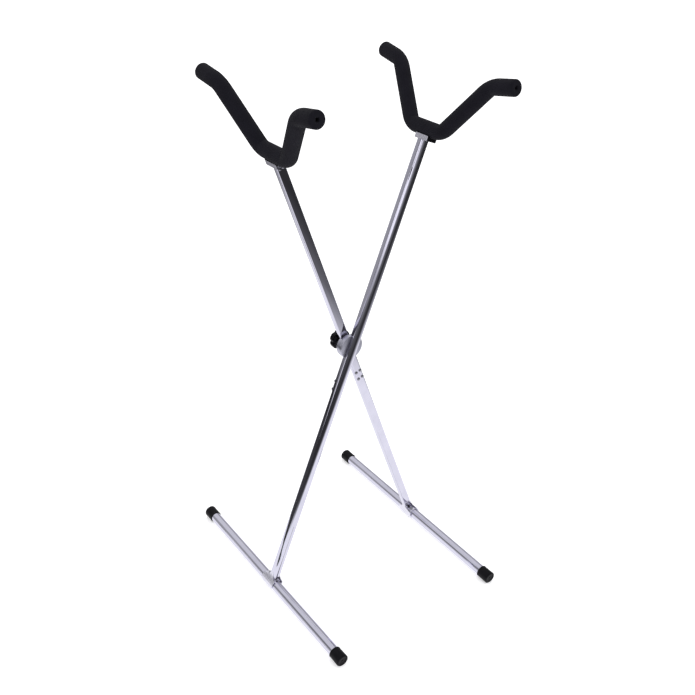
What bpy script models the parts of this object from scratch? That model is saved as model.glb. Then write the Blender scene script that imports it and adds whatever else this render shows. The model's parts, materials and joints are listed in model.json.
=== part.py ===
"""Folding X-frame saxophone stand, in metres, +Z up, origin on the floor under the hub.

Two leg assemblies cross at a clamped hub whose pivot runs along Y. Each leg is built in its own
frame: origin on the pivot, +Z up the leg, -Y outwards. Leg B is leg A turned half a turn about the
world's Z axis, so their flat inner faces look at each other across the hub. Leg A carries the hub's
drum and leg B a plain disc that turns inside it.
"""

import math

import bmesh
import bpy
from mathutils import Matrix, Vector

# Stance
SPREAD = 0.1412  # from the middle to each foot's axis, along X
HUB_RISE = 0.3717  # from the foot axes up to the pivot
LEG_LENGTH = 0.7027  # from the foot axis to the top of the leg tube
LEAN = math.atan2(SPREAD, HUB_RISE)
LOWER = math.hypot(SPREAD, HUB_RISE)  # pivot to foot axis, along the leg
LEG_TOP = LEG_LENGTH - LOWER

# Fits
GAP = 0.0003  # between pieces that rest on each other
LONG = 0.05  # reach of a cutter that only has to go right through

# Leg tube: flat inner face, straight sides and a half-round back
LEG_WIDTH = 0.013
LEG_DEPTH = 0.013
LEG_WALL = 0.0012
LEG_CORNER = 0.0016

# Hub
FRICTION_HALF = 0.0008  # half of the friction disc's thickness
FRICTION_RADIUS = 0.0145
PLATE_SHEET = 0.0014
DRUM_RADIUS = 0.0185
DRUM_FRONT = 0.0066  # the drum's front face, either side of leg A
DRUM_EDGE = 0.0010  # how far its front edge is rounded off
DRUM_END = 0.0048  # the end of its rim, on leg B's side
DISC_RADIUS = 0.0155  # of leg B's plain hub disc, which turns inside the drum
PLATE_FACE = FRICTION_HALF + GAP  # the plate's side that looks at the other leg
PLATE_BACK = PLATE_FACE + PLATE_SHEET
LEG_FACE = PLATE_BACK + GAP  # the leg tube's flat inner face
LEG_MIDDLE = LEG_FACE + LEG_DEPTH / 2
LEG_BACK = LEG_FACE + LEG_DEPTH
FOLD_RANGE = math.radians(36.5)  # how far leg B closes from this pose, where it is against its stop
TONGUE_WIDTH = 0.0100
STIFFENER_SHEET = 0.0012
RIVET_HOLE = 0.0018
TONGUE_END = 0.0756
TONGUE_SLACK = 0.00005  # the tongue is this much thinner on each side than the disc it joins
BOLT_RADIUS = 0.003
BOLT_HOLE = 0.0033
BOLT_HEAD_FLATS = 0.010
BOLT_HEAD_HEIGHT = 0.004
WASHER_RADIUS = 0.007
WASHER_THICKNESS = 0.0015
KNOB_START = LEG_BACK + GAP + WASHER_THICKNESS + GAP
KNOB_HEIGHT = 0.0098
KNOB_RADIUS = 0.0156
KNOB_FLUTE = 0.0017  # depth of the hollows between lobes
KNOB_LOBES = 6
KNOB_TURN = math.radians(28)  # from a lobe's middle to the X axis
KNOB_BOSS = 0.009
KNOB_BORE = 0.0043
INSERT_RADIUS = 0.004
INSERT_LENGTH = 0.0065

# Hub rivets, two by two through each tongue
HUB_RIVETS_AT = 0.0621  # below the pivot
HUB_RIVET_ALONG = 0.00625
HUB_RIVET_ACROSS = 0.0032

# Foot
TUBE_RADIUS = 0.008
TUBE_WALL = 0.0012
FOOT_HALF = 0.1938
CAP_RADIUS = 0.0095
CAP_LIP_RADIUS = 0.0092
CAP_LENGTH = 0.020
CAP_END = 0.003
CAP_FLAT = 0.0003  # depth of the flat that each cap stands on
FOOT_RISE = CAP_RADIUS - CAP_FLAT  # foot axis above the floor
SADDLE_INNER = TUBE_RADIUS + GAP
SADDLE_OUTER = SADDLE_INNER + 0.0015
SADDLE_HALF = 0.0145
SADDLE_SHIFT = 0.0045  # from the leg's middle towards the other leg
SADDLE_WRAP = math.radians(104)  # from the top of the foot round to each lip
SADDLE_RIVET_AT = 0.0125  # from the leg's middle, towards the other leg
SADDLE_RIVET_HOLE = 0.0019
LEG_ARCH_RADIUS = 0.0030  # of the arch cut in the leg's inner and outer walls above the foot
LEG_ARCH_RISE = 0.0115

# Yoke, drawn in the plane of Y and the leg's own direction
ROD_RADIUS = 0.003
FOAM_RADIUS = 0.0105
FOAM_BORE = ROD_RADIUS + GAP
YOKE_RISE = 0.0127  # from the leg's top to the rod's axis
YOKE_FLAT = 0.030  # half of the straight bottom, to the corner
YOKE_REACH = 0.0886  # from the middle to the upper corner
YOKE_HEIGHT = 0.0733
TIP_LENGTH = 0.0406
TIP_SLOPE = math.radians(9.9)
YOKE_TILT = math.radians(2.2)  # each yoke stands this much more upright than its leg
YOKE_SHIFT = 0.0028  # from the leg's middle towards the other leg
BOTTOM_BEND = 0.025
TOP_BEND = 0.036
BEND_STEPS = 6
ROD_RECESS = 0.008  # from the foam's end in to the rod's end
BRACKET_HALF_LENGTH = 0.0122
BRACKET_SHIFT = 0.0015  # from the leg's middle away from the other leg
BRACKET_SHEET = 0.0016
BRACKET_INNER = LEG_WIDTH / 2 + GAP
BRACKET_DROP = 0.0024  # the flanges' reach below the leg's top
BRACKET_LIP = 0.0043  # their reach above it, either side of the foam
POST_RADIUS = 0.004
TAB_WIDTH = 0.0085
TAB_LENGTH = 0.0095
TAB_FACE = LEG_FACE + LEG_WALL + GAP
TAB_BACK = TAB_FACE + 0.0014
TAB_RIVET_DOWN = 0.0055  # below the leg's top
TAB_RIVET_ACROSS = 0.0026


def clear_scene():
    for item in list(bpy.data.objects):
        bpy.data.objects.remove(item, do_unlink=True)


def make_material(name, colour, roughness, metallic):
    material = bpy.data.materials.new(name)
    material.use_nodes = True
    shader = material.node_tree.nodes["Principled BSDF"]
    shader.inputs["Base Color"].default_value = (*colour, 1.0)
    shader.inputs["Roughness"].default_value = roughness
    shader.inputs["Metallic"].default_value = metallic
    return material


def make_frame(name, place, turn):
    """An empty that a group of objects is parented to."""
    frame = bpy.data.objects.new(name, None)
    frame.matrix_world = Matrix.Translation(place) @ turn
    bpy.context.scene.collection.objects.link(frame)
    return frame


def make_object(name, bm, frame, place=(0, 0, 0), turn=None, material=None):
    """Turns a bmesh into a smooth-shaded object with its sharp edges kept."""
    bmesh.ops.recalc_face_normals(bm, faces=bm.faces)
    mesh = bpy.data.meshes.new(name)
    bm.to_mesh(mesh)
    bm.free()
    mesh.shade_smooth()
    mesh.set_sharp_from_angle(angle=math.radians(35))
    item = bpy.data.objects.new(name, mesh)
    bpy.context.scene.collection.objects.link(item)
    item.parent = frame
    item.matrix_local = Matrix.Translation(place) @ (turn or Matrix.Identity(4))
    if material:
        mesh.materials.append(material)
    return item


def combine(item, operation, bm):
    """Adds a Boolean to item, with bm, in item's own coordinates, as its hidden helper."""
    name = f"{item.name}_{operation.lower()}_{len(item.modifiers)}"
    helper = make_object(name, bm, item)
    helper.hide_render = True
    helper.display_type = "WIRE"
    modifier = item.modifiers.new(operation.title(), "BOOLEAN")
    modifier.operation = operation
    modifier.object = helper


def loft(bm, rings, closed=False):
    """Joins rings of points with side faces. Unless closed into a loop, the two ends are capped."""
    made = [[bm.verts.new(point) for point in ring] for ring in rings]
    pairs = list(zip(made, made[1:]))
    if closed:
        pairs.append((made[-1], made[0]))
    for one, other in pairs:
        for i in range(len(one)):
            j = (i + 1) % len(one)
            bm.faces.new((one[i], one[j], other[j], other[i]))
    if not closed:
        bm.faces.new(made[0])
        bm.faces.new(made[-1])
    return bm


def circle(radius, steps, height=0.0, centre=(0.0, 0.0)):
    """Points of a circle about Z."""
    x, y = centre
    turns = (2 * math.pi * i / steps for i in range(steps))
    return [Vector((x + radius * math.cos(t), y + radius * math.sin(t), height)) for t in turns]


def rod_between(bm, low, high, radius, steps, turn=None, place=(0, 0, 0)):
    """Adds a plain cylinder from low to high along Z, then turned and moved."""
    matrix = Matrix.Translation(place) @ (turn or Matrix.Identity(4))
    rings = [[matrix @ p for p in circle(radius, steps, height)] for height in (low, high)]
    return loft(bm, rings)


def lathe(profile, steps):
    """A solid turned about Z from (radius, height) points. Ends on the axis close to a point."""
    bm = bmesh.new()
    rows = []
    for radius, height in profile:
        if radius == 0:
            rows.append([bm.verts.new((0, 0, height))])
        else:
            rows.append([bm.verts.new(p) for p in circle(radius, steps, height)])
    closed = len(rows[0]) > 1
    pairs = list(zip(rows, rows[1:])) + ([(rows[-1], rows[0])] if closed else [])
    for one, other in pairs:
        for i in range(steps):
            j = (i + 1) % steps
            corners = [one[i % len(one)], one[j % len(one)], other[j % len(other)], other[i % len(other)]]
            bm.faces.new(list(dict.fromkeys(corners)))
    return bm


def prism(outline, low, high):
    """An outline in X and Y, extruded along Z."""
    return loft(bmesh.new(), [[Vector((x, y, height)) for x, y in outline] for height in (low, high)])


def box(low, high):
    outline = [(low[0], low[1]), (high[0], low[1]), (high[0], high[1]), (low[0], high[1])]
    return prism(outline, low[2], high[2])


def arc(centre, radius, start, end, steps):
    turns = (start + (end - start) * i / steps for i in range(steps + 1))
    return [(centre[0] + radius * math.cos(t), centre[1] + radius * math.sin(t)) for t in turns]


# Local +Z turned to point along +Y, -Y or +X
ALONG_Y = Matrix.Rotation(-math.pi / 2, 4, "X")
ALONG_MINUS_Y = Matrix.Rotation(math.pi / 2, 4, "X")
ALONG_X = Matrix.Rotation(math.pi / 2, 4, "Y")


def leg_section(inset):
    """The leg tube's outline in X and Y, drawn in by inset. Its flat face looks at +Y."""
    half = LEG_WIDTH / 2 - inset
    face = -LEG_FACE - inset
    corner = LEG_CORNER - inset
    round_centre = -LEG_BACK + LEG_WIDTH / 2
    right = arc((half - corner, face - corner), corner, math.pi / 2, 0, 3)
    left = arc((-half + corner, face - corner), corner, math.pi, math.pi / 2, 3)
    back = arc((0, round_centre), half, 0, -math.pi, 18)
    return right + back + left


def make_leg_tube(name, frame, material, holds_bolt_head):
    bm = bmesh.new()
    low, high = -LOWER, LEG_TOP
    rings = []
    for inset, height in ((0, low), (0, high), (LEG_WALL, high), (LEG_WALL, low)):
        rings.append([Vector((x, y, height)) for x, y in leg_section(inset)])
    tube = make_object(name, loft(bm, rings, closed=True), frame, material=material)
    cope = rod_between(bmesh.new(), -LONG, LONG, SADDLE_OUTER + GAP, 40, ALONG_Y, (0, 0, -LOWER))
    combine(tube, "DIFFERENCE", cope)
    holes = bmesh.new()
    inside = LEG_FACE + LEG_WALL + GAP
    reach = inside if holds_bolt_head else LONG
    rod_between(holes, 0, reach, BOLT_HOLE, 20, ALONG_MINUS_Y)
    for x, z in hub_rivet_places() + tab_rivet_places():
        rod_between(holes, 0, inside, RIVET_HOLE, 10, ALONG_MINUS_Y, (x, 0, z))
    rod_between(holes, -LONG, LONG, LEG_ARCH_RADIUS, 16, ALONG_Y, (0, 0, LEG_ARCH_RISE - LOWER))
    combine(tube, "DIFFERENCE", holes)
    return tube


def hub_rivet_places():
    """X and Z of the four rivets through a leg's inner wall below its hub."""
    rows = (-HUB_RIVETS_AT + HUB_RIVET_ALONG, -HUB_RIVETS_AT - HUB_RIVET_ALONG)
    return [(x, z) for z in rows for x in (-HUB_RIVET_ACROSS, HUB_RIVET_ACROSS)]


def tab_rivet_places():
    """X and Z of the two rivets through a leg's inner wall into the yoke bracket's tab."""
    return [(x, LEG_TOP - TAB_RIVET_DOWN) for x in (-TAB_RIVET_ACROSS, TAB_RIVET_ACROSS)]


def tongue(low, high, end, top):
    """A strip down the leg with a round end, from one height to another above the XY plane."""
    half = TONGUE_WIDTH / 2
    return prism([(half, top), *arc((0, -end + half), half, 0, -math.pi, 8), (-half, top)], low, high)


def hub_holes():
    """Cutters for the bolt and the four rivets, along Z."""
    holes = rod_between(bmesh.new(), -LONG, LONG, BOLT_HOLE, 20)
    for x, z in hub_rivet_places():
        rod_between(holes, -LONG, LONG, RIVET_HOLE, 10, place=(x, z, 0))
    return holes


def make_drum(name, frame, material):
    """Leg A's hub plate: a drum with a channel in front for leg A, a cup behind it that is open where
    leg B swings, and a tongue down leg A."""
    inner = DRUM_RADIUS - PLATE_SHEET
    profile = [
        (0, PLATE_FACE),
        (inner, PLATE_FACE),
        (inner, -DRUM_END),
        (DRUM_RADIUS, -DRUM_END),
        (DRUM_RADIUS, DRUM_FRONT - DRUM_EDGE),
        (DRUM_RADIUS - 0.3 * DRUM_EDGE, DRUM_FRONT - 0.3 * DRUM_EDGE),
        (DRUM_RADIUS - DRUM_EDGE, DRUM_FRONT),
        (0, DRUM_FRONT),
    ]
    drum = make_object(name, lathe(profile, 48), frame, turn=ALONG_MINUS_Y, material=material)
    # The drum's own +Z looks outwards from leg A, so its +Y is the leg's +Z.
    channel = LEG_WIDTH / 2 + GAP
    combine(drum, "DIFFERENCE", box((-channel, -LONG, PLATE_BACK), (channel, LONG, LONG)))
    strip = tongue(PLATE_FACE + TONGUE_SLACK, PLATE_BACK - TONGUE_SLACK, TONGUE_END, -0.002)
    combine(drum, "UNION", strip)
    for turn in (0, math.pi):
        combine(drum, "DIFFERENCE", swing_cutter(-DRUM_END - LONG, PLATE_FACE, turn))
    combine(drum, "DIFFERENCE", hub_holes())
    return drum


def swing_cutter(low, high, turn):
    """The space that half of leg B sweeps through the drum's rim, about the drum's own Z."""
    half_width = LEG_WIDTH / 2 + 2 * GAP
    at_rest = math.pi / 2 + 2 * LEAN + turn  # along leg B, measured from leg A's own X axis
    closed = at_rest - FOLD_RANGE
    reach = 0.04
    outline = [
        rotated(-0.001, half_width, at_rest),
        rotated(-0.001, -half_width, closed),
        rotated(reach, -half_width, closed),
        rotated(reach, half_width, at_rest),
    ]
    return prism(outline, low, high)


def rotated(along, across, turn):
    """A point given along and across a direction in the XY plane."""
    return (
        along * math.cos(turn) - across * math.sin(turn),
        along * math.sin(turn) + across * math.cos(turn),
    )


def make_hub_disc(name, frame, material):
    """Leg B's hub plate, a plain disc inside leg A's drum."""
    edge = 0.0003
    profile = [
        (0, PLATE_FACE),
        (DISC_RADIUS - edge, PLATE_FACE),
        (DISC_RADIUS, PLATE_FACE + edge),
        (DISC_RADIUS, PLATE_BACK - edge),
        (DISC_RADIUS - edge, PLATE_BACK),
        (0, PLATE_BACK),
    ]
    disc = make_object(name, lathe(profile, 36), frame, turn=ALONG_MINUS_Y, material=material)
    combine(disc, "DIFFERENCE", rod_between(bmesh.new(), -LONG, LONG, BOLT_HOLE, 20))
    return disc


def make_stiffener(name, frame, material):
    """A strip inside leg B, against its inner wall, that the four rivets hold at the hub."""
    low = LEG_FACE + LEG_WALL + GAP
    shape = tongue(low, low + STIFFENER_SHEET, TONGUE_END, 0.012)
    strip = make_object(name, shape, frame, turn=ALONG_MINUS_Y, material=material)
    combine(strip, "DIFFERENCE", hub_holes())
    return strip


def make_leg_rivets(prefix, frame, places, face, back, material):
    """Low-domed rivets set from the inner side through everything between face and back."""
    head, tail = face - GAP, back + GAP
    profile = [
        (0, head - 0.0007),
        (0.0014, head - 0.0007),
        (0.0019, head - 0.0003),
        (0.0019, head),
        (0.0015, head),
        (0.0015, tail),
        (0.0018, tail),
        (0.0014, tail + 0.0009),
        (0, tail + 0.0009),
    ]
    for number, (x, z) in enumerate(places, 1):
        make_object(f"{prefix}_{number}", lathe(profile, 10), frame, (x, 0, z), ALONG_MINUS_Y, material)


def make_foot_tube(name, frame, material):
    half = FOOT_HALF - CAP_END - GAP
    inner = TUBE_RADIUS - TUBE_WALL
    corners = ((TUBE_RADIUS, -half), (TUBE_RADIUS, half), (inner, half), (inner, -half))
    shape = loft(bmesh.new(), [circle(radius, 32, z) for radius, z in corners], closed=True)
    tube = make_object(name, shape, frame, (0, 0, -LOWER), ALONG_Y, material)
    # The tube's own -Y is up the leg.
    rivet = (0, 0, SADDLE_RIVET_AT - LEG_MIDDLE)
    hole = rod_between(bmesh.new(), 0, LONG, SADDLE_RIVET_HOLE, 12, ALONG_MINUS_Y, rivet)
    combine(tube, "DIFFERENCE", hole)
    return tube


def make_cap(name, frame, side, material):
    """A rubber cap pushed over a foot tube's end, with a flat to stand on. side is -1 or 1 along Y."""
    bore = TUBE_RADIUS + GAP
    profile = [
        (0, CAP_LENGTH - CAP_END),
        (bore, CAP_LENGTH - CAP_END),
        (bore, 0),
        (CAP_LIP_RADIUS - 0.0005, 0),
        (CAP_LIP_RADIUS, 0.0005),
        (CAP_RADIUS, 0.006),
        (CAP_RADIUS, CAP_LENGTH - 0.0016),
        (CAP_RADIUS - 0.0006, CAP_LENGTH - 0.0005),
        (CAP_RADIUS - 0.002, CAP_LENGTH),
        (0, CAP_LENGTH),
    ]
    level = Matrix.Rotation(-LEAN, 4, "Y")  # undoes the leg's lean, so that the flat is level
    turn = level @ (ALONG_Y if side > 0 else ALONG_MINUS_Y)
    place = (0, side * (FOOT_HALF - CAP_LENGTH), -LOWER)
    cap = make_object(name, lathe(profile, 32), frame, place, turn, material)
    down = side  # the cap's own Y that points down
    low, high = sorted((down * FOOT_RISE, down * LONG))
    combine(cap, "DIFFERENCE", box((-LONG, low, -LONG), (LONG, high, LONG)))
    return cap


def make_saddle(name, frame, material):
    """A pressed strap over the top of the foot tube, which the leg stands on."""
    start, end = math.pi / 2 - SADDLE_WRAP, math.pi / 2 + SADDLE_WRAP
    outline = arc((0, 0), SADDLE_OUTER, start, end, 24) + arc((0, 0), SADDLE_INNER, end, start, 24)
    bm = prism(outline, -SADDLE_HALF, SADDLE_HALF)
    place = (0, SADDLE_SHIFT - LEG_MIDDLE, -LOWER)
    saddle = make_object(name, bm, frame, place, ALONG_MINUS_Y, material)
    # The saddle's own +Y is up the leg, and its +Z is away from the other leg.
    rivet = (0, 0, SADDLE_SHIFT - SADDLE_RIVET_AT)
    combine(saddle, "DIFFERENCE", rod_between(bmesh.new(), 0, LONG, SADDLE_RIVET_HOLE, 12, ALONG_Y, rivet))
    return saddle


def make_saddle_rivet(name, frame, material):
    """A domed rivet through the saddle and the top of the foot tube."""
    seat = SADDLE_OUTER + GAP
    tail = TUBE_RADIUS - TUBE_WALL - 0.0007
    profile = [
        (0, tail - 0.001),
        (0.0018, tail - 0.001),
        (0.0021, tail),
        (0.0016, tail),
        (0.0016, seat),
        (0.0027, seat),
        (0.0025, seat + 0.0009),
        (0.0015, seat + 0.0017),
        (0, seat + 0.002),
    ]
    place = (0, SADDLE_RIVET_AT - LEG_MIDDLE, -LOWER)
    return make_object(name, lathe(profile, 12), frame, place, material=material)


def filleted(corners, radii, steps):
    """A polyline in two dimensions with each inner corner replaced by an arc."""
    points = [corners[0]]
    for before, corner, after, radius in zip(corners, corners[1:], corners[2:], radii):
        back = (before - corner).normalized()
        ahead = (after - corner).normalized()
        half_angle = back.angle(ahead) / 2
        centre = corner + (back + ahead).normalized() * radius / math.sin(half_angle)
        reach = radius / math.tan(half_angle)
        first = corner + back * reach - centre
        last = corner + ahead * reach - centre
        sweep = first.angle_signed(last)
        for i in range(steps + 1):
            turn = Matrix.Rotation(-sweep * i / steps, 2)
            points.append(centre + turn @ first)
    points.append(corners[-1])
    return points


def yoke_line():
    """The yoke's centre line from tip to tip, as points of Y and height above its bottom."""
    bend = Vector((YOKE_REACH, YOKE_HEIGHT))
    tip = bend + Vector((math.cos(TIP_SLOPE), math.sin(TIP_SLOPE))) * TIP_LENGTH
    half = [tip, bend, Vector((YOKE_FLAT, 0))]
    corners = half + [Vector((-p.x, p.y)) for p in reversed(half)]
    return filleted(corners, (TOP_BEND, BOTTOM_BEND, BOTTOM_BEND, TOP_BEND), BEND_STEPS)


def shortened(line, by):
    """The line with each end drawn back, or moved out where by is negative."""
    line = list(line)
    for end, inner in ((0, 1), (-1, -2)):
        line[end] = line[end] + (line[inner] - line[end]).normalized() * by
    return line


def sweep(line, radii, steps):
    """Rings of the given radii about each point of a line in the yoke's plane."""
    rings = []
    for i, point in enumerate(line):
        ahead = line[min(i + 1, len(line) - 1)] - point
        behind = point - line[max(i - 1, 0)]
        along = (ahead.normalized() + behind.normalized()).normalized()
        out = Vector((0, -along.y, along.x))
        ring = []
        for k in range(steps):
            turn = 2 * math.pi * k / steps
            offset = Vector((1, 0, 0)) * math.cos(turn) + out * math.sin(turn)
            ring.append(Vector((0, point.x, point.y)) + offset * radii[i])
        rings.append(ring)
    return rings


def make_yoke(letter, frame, materials):
    seat = (0, YOKE_SHIFT - LEG_MIDDLE, LEG_TOP + YOKE_RISE)
    tilt = Matrix.Rotation(-YOKE_TILT, 4, "Y")
    line = yoke_line()
    rod_line = shortened(line, ROD_RECESS)
    bm = loft(bmesh.new(), sweep(rod_line, [ROD_RADIUS] * len(rod_line), 10))
    make_object(f"yoke_{letter}_rod", bm, frame, seat, tilt, materials["steel"])

    rounding = ((0.0, 0.0024), (0.0009, 0.0008), (0.0024, 0.0))  # distance in from the end, and drawn in by
    outer_line = [shortened(line, back)[0] for back, _ in rounding] + line[1:-1]
    outer_line += [shortened(line, back)[-1] for back, _ in reversed(rounding)]
    outer_radii = [FOAM_RADIUS - by for _, by in rounding] + [FOAM_RADIUS] * (len(line) - 2)
    outer_radii += [FOAM_RADIUS - by for _, by in reversed(rounding)]
    outer = sweep(outer_line, outer_radii, 18)
    inner = sweep(line, [FOAM_BORE] * len(line), 18)
    foam = loft(bmesh.new(), outer + inner[::-1], closed=True)
    foam = make_object(f"yoke_{letter}_foam", foam, frame, seat, tilt, materials["foam"])
    combine(foam, "DIFFERENCE", rod_between(bmesh.new(), -LONG, -0.001, POST_RADIUS + 0.0006, 20))


def make_bracket(name, frame, material):
    """A channel over the leg's top, with a post up to the yoke's rod and a tab down inside the leg."""
    half = BRACKET_INNER + BRACKET_SHEET
    inner = BRACKET_INNER
    web_low = LEG_TOP + GAP
    web_high = web_low + BRACKET_SHEET
    low, lip, edge = LEG_TOP - BRACKET_DROP, LEG_TOP + BRACKET_LIP, 0.0004
    right = [(inner, web_low), (inner, low), (half, low), (half, lip - edge), (half - edge, lip)]
    right += [(inner, lip), (inner, web_high)]
    outline = right + [(-x, y) for x, y in reversed(right)]
    bm = prism(outline, BRACKET_SHIFT - BRACKET_HALF_LENGTH, BRACKET_SHIFT + BRACKET_HALF_LENGTH)
    bracket = make_object(name, bm, frame, (0, -LEG_MIDDLE, 0), ALONG_MINUS_Y, material)
    # The bracket's own +Y is up the leg, and its +Z is away from the other leg.
    axis = LEG_TOP + YOKE_RISE
    middle = (0, 0, -YOKE_SHIFT)
    post = rod_between(bmesh.new(), web_low + 0.0008, axis - 0.002, POST_RADIUS, 20, ALONG_Y, middle)
    combine(bracket, "UNION", post)
    tab_low = (-TAB_WIDTH / 2, LEG_TOP - TAB_LENGTH, TAB_FACE - LEG_MIDDLE)
    tab_high = (TAB_WIDTH / 2, web_low + 0.0008, TAB_BACK - LEG_MIDDLE)
    combine(bracket, "UNION", box(tab_low, tab_high))
    cuts = rod_between(bmesh.new(), -LONG, LONG, ROD_RADIUS + GAP, 20, place=(0, axis, 0))
    for x, z in tab_rivet_places():
        rod_between(cuts, -LONG, 0, RIVET_HOLE, 10, place=(x, z, 0))
    combine(bracket, "DIFFERENCE", cuts)
    return bracket


def make_bolt(name, frame, material):
    """Hex bolt whose head is held between the leg tube's walls, reaching out past the other leg."""
    head = -LEG_FACE - LEG_WALL - GAP
    corner = BOLT_HEAD_FLATS / math.sqrt(3)
    end = KNOB_START + INSERT_LENGTH
    bm = bmesh.new()
    sides = 24

    def hexagon(height):
        """A six-sided ring with flats at +X and -X, in as many points as the round rings."""
        ring = []
        for i in range(sides):
            turn = 2 * math.pi * i / sides
            off_flat = (turn + math.pi / 6) % (math.pi / 3) - math.pi / 6
            reach = corner * math.cos(math.pi / 6) / math.cos(off_flat)
            ring.append(Vector((reach * math.cos(turn), reach * math.sin(turn), height)))
        return ring

    rings = [
        circle(corner * 0.85, sides, head - BOLT_HEAD_HEIGHT),
        hexagon(head - BOLT_HEAD_HEIGHT + 0.0006),
        hexagon(head),
        circle(BOLT_RADIUS, sides, head),
        circle(BOLT_RADIUS, sides, end - 0.0008),
        circle(BOLT_RADIUS - 0.0008, sides, end),
    ]
    return make_object(name, loft(bm, rings), frame, turn=ALONG_Y, material=material)


def make_ring(name, frame, inner, outer, low, high, steps, material):
    bevel = 0.0003
    profile = [
        (inner, low), (outer - bevel, low), (outer, low + bevel),
        (outer, high - bevel), (outer - bevel, high), (inner, high),
    ]
    return make_object(name, lathe(profile, steps), frame, turn=ALONG_Y, material=material)


def make_knob(name, frame, material):
    """Six-lobed clamp knob with a round boss towards the leg and a blind bore for its insert."""
    steps = 60

    def lobed(scale, height):
        ring = []
        for i in range(steps):
            turn = 2 * math.pi * i / steps
            hollow = (0.5 - 0.5 * math.cos(KNOB_LOBES * (turn - KNOB_TURN))) ** 3
            radius = scale * (KNOB_RADIUS - KNOB_FLUTE * hollow)
            ring.append(Vector((radius * math.cos(turn), radius * math.sin(turn), height)))
        return ring

    boss = 0.0012
    rings = [
        circle(KNOB_BORE, steps, INSERT_LENGTH + 0.0016),
        circle(KNOB_BORE, steps, 0),
        circle(KNOB_BOSS, steps, 0),
        circle(KNOB_BOSS, steps, boss),
        lobed(0.96, boss),
        lobed(1.0, boss + 0.0010),
        lobed(1.0, KNOB_HEIGHT - 0.0024),
        lobed(0.95, KNOB_HEIGHT - 0.0008),
        lobed(0.86, KNOB_HEIGHT),
    ]
    return make_object(name, loft(bmesh.new(), rings), frame, (0, KNOB_START, 0), ALONG_Y, material)


def make_leg(letter, turn, holds_bolt_head, materials):
    """One leg assembly. The far end of its own -Y side faces the world's front or back."""
    place = (0, 0, FOOT_RISE + HUB_RISE)
    frame = make_frame(f"leg_{letter}_frame", place, turn @ Matrix.Rotation(LEAN, 4, "Y"))
    steel, chrome = materials["steel"], materials["chrome"]
    sides = ("front", "back") if letter == "a" else ("back", "front")
    make_leg_tube(f"leg_{letter}_tube", frame, chrome, holds_bolt_head)
    make_foot_tube(f"foot_{letter}_tube", frame, chrome)
    for side, word in zip((-1, 1), sides):
        make_cap(f"foot_{letter}_cap_{word}", frame, side, materials["rubber"])
    make_saddle(f"foot_{letter}_saddle", frame, chrome)
    make_saddle_rivet(f"foot_{letter}_rivet", frame, steel)
    make_yoke(letter, frame, materials)
    make_bracket(f"yoke_{letter}_bracket", frame, chrome)
    make_leg_rivets(f"yoke_{letter}_rivet", frame, tab_rivet_places(), LEG_FACE, TAB_BACK, steel)
    return frame


def make_clamp(materials):
    """The pivot's own pieces, on the hub's axis."""
    place = (0, 0, FOOT_RISE + HUB_RISE)
    bolt_frame = make_frame("pivot_frame", place, Matrix.Rotation(LEAN, 4, "Y"))
    knob_frame = make_frame("knob_frame", place, Matrix.Identity(4))
    make_bolt("pivot_bolt", bolt_frame, materials["steel"])
    make_ring(
        "friction_disc", bolt_frame, BOLT_HOLE, FRICTION_RADIUS,
        -FRICTION_HALF, FRICTION_HALF, 24, materials["fibre"],
    )
    washer_low = LEG_BACK + GAP
    make_ring(
        "knob_washer", bolt_frame, BOLT_HOLE, WASHER_RADIUS,
        washer_low, washer_low + WASHER_THICKNESS, 20, materials["steel"],
    )
    make_knob("clamp_knob", knob_frame, materials["plastic"])
    make_ring(
        "knob_insert", knob_frame, BOLT_HOLE, INSERT_RADIUS,
        KNOB_START + 0.001, KNOB_START + 0.001 + INSERT_LENGTH, 16, materials["brass"],
    )


def main():
    clear_scene()
    materials = {
        "chrome": make_material("chrome", (0.80, 0.80, 0.84), 0.08, 1.0),
        "steel": make_material("zinc_steel", (0.62, 0.62, 0.66), 0.35, 1.0),
        "foam": make_material("black_foam", (0.018, 0.017, 0.021), 0.85, 0.0),
        "rubber": make_material("black_rubber", (0.02, 0.02, 0.022), 0.55, 0.0),
        "plastic": make_material("black_plastic", (0.012, 0.012, 0.014), 0.35, 0.0),
        "brass": make_material("brass", (0.71, 0.54, 0.27), 0.3, 1.0),
        "fibre": make_material("friction_fibre", (0.10, 0.09, 0.08), 0.9, 0.0),
    }
    steel = materials["steel"]
    leg_a = make_leg("a", Matrix.Identity(4), True, materials)
    make_drum("hub_drum", leg_a, steel)
    places = hub_rivet_places()
    inside = LEG_FACE + LEG_WALL
    make_leg_rivets("hub_rivet_a", leg_a, places, PLATE_FACE, inside, steel)
    leg_b = make_leg("b", Matrix.Rotation(math.pi, 4, "Z"), False, materials)
    make_hub_disc("hub_disc", leg_b, steel)
    make_stiffener("hub_stiffener", leg_b, steel)
    make_leg_rivets("hub_rivet_b", leg_b, places, LEG_FACE, inside + GAP + STIFFENER_SHEET, steel)
    make_clamp(materials)


main()
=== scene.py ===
"""The look of the folding saxophone stand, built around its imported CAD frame.

Units are metres. Each leg's pieces are made in that leg's own frame: origin on the hub's pivot,
+Z up the leg, -Y outwards. A matrix worked out from the frame's boxes then puts them in place.
"""

import json
import math

import bmesh
import bpy
from mathutils import Matrix, Vector


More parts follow.
